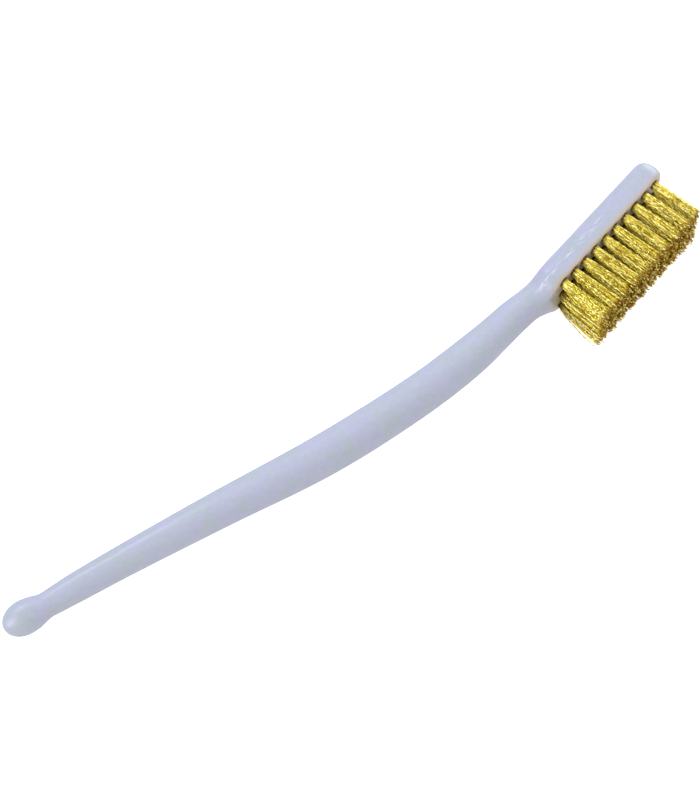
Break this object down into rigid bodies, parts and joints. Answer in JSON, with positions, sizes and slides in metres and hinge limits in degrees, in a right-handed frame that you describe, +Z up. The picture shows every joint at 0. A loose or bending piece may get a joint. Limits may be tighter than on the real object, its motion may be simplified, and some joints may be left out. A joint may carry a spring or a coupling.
{
  "type": "wire brush",
  "caption": "Small hand wire brush: curved round plastic handle with a ball end, and a narrow straight head with rows of crimped brass wire tufts.",
  "frame": {"origin": "middle of the brush's bounding box in X and Y, on the surface that the brush lies on", "axes": "the brush lies on its side: +X along the straight head from the neck to the toe, the tufts point to -Y, +Z up, square to the brush's plane of symmetry"},
  "size_m": [0.186, 0.0574, 0.0136],
  "materials": {
    "nylon": "smooth moulded nylon, natural milky colour, glossy",
    "brass_wire": "bright drawn and crimped wire",
    "anchor_wire": "flat rolled wire, cut ends"
  },
  "bodies": {
    "root": {"handle": "nylon", "tuft_upper_01": "brass_wire", "tuft_upper_02": "brass_wire", "tuft_upper_03": "brass_wire", "tuft_upper_04": "brass_wire", "tuft_upper_05": "brass_wire", "tuft_upper_06": "brass_wire", "tuft_upper_07": "brass_wire", "tuft_upper_08": "brass_wire", "tuft_upper_09": "brass_wire", "tuft_upper_10": "brass_wire", "tuft_middle_01": "brass_wire", "tuft_middle_02": "brass_wire", "tuft_middle_03": "brass_wire", "tuft_middle_04": "brass_wire", "tuft_middle_05": "brass_wire", "tuft_middle_06": "brass_wire", "tuft_middle_07": "brass_wire", "tuft_middle_08": "brass_wire", "tuft_middle_09": "brass_wire", "tuft_middle_10": "brass_wire", "tuft_lower_01": "brass_wire", "tuft_lower_02": "brass_wire", "tuft_lower_03": "brass_wire", "tuft_lower_04": "brass_wire", "tuft_lower_05": "brass_wire", "tuft_lower_06": "brass_wire", "tuft_lower_07": "brass_wire", "tuft_lower_08": "brass_wire", "tuft_lower_09": "brass_wire", "tuft_lower_10": "brass_wire", "anchor_upper_01": "anchor_wire", "anchor_upper_02": "anchor_wire", "anchor_upper_03": "anchor_wire", "anchor_upper_04": "anchor_wire", "anchor_upper_05": "anchor_wire", "anchor_upper_06": "anchor_wire", "anchor_upper_07": "anchor_wire", "anchor_upper_08": "anchor_wire", "anchor_upper_09": "anchor_wire", "anchor_upper_10": "anchor_wire", "anchor_middle_01": "anchor_wire", "anchor_middle_02": "anchor_wire", "anchor_middle_03": "anchor_wire", "anchor_middle_04": "anchor_wire", "anchor_middle_05": "anchor_wire", "anchor_middle_06": "anchor_wire", "anchor_middle_07": "anchor_wire", "anchor_middle_08": "anchor_wire", "anchor_middle_09": "anchor_wire", "anchor_middle_10": "anchor_wire", "anchor_lower_01": "anchor_wire", "anchor_lower_02": "anchor_wire", "anchor_lower_03": "anchor_wire", "anchor_lower_04": "anchor_wire", "anchor_lower_05": "anchor_wire", "anchor_lower_06": "anchor_wire", "anchor_lower_07": "anchor_wire", "anchor_lower_08": "anchor_wire", "anchor_lower_09": "anchor_wire"}
  },
  "joints": []
}
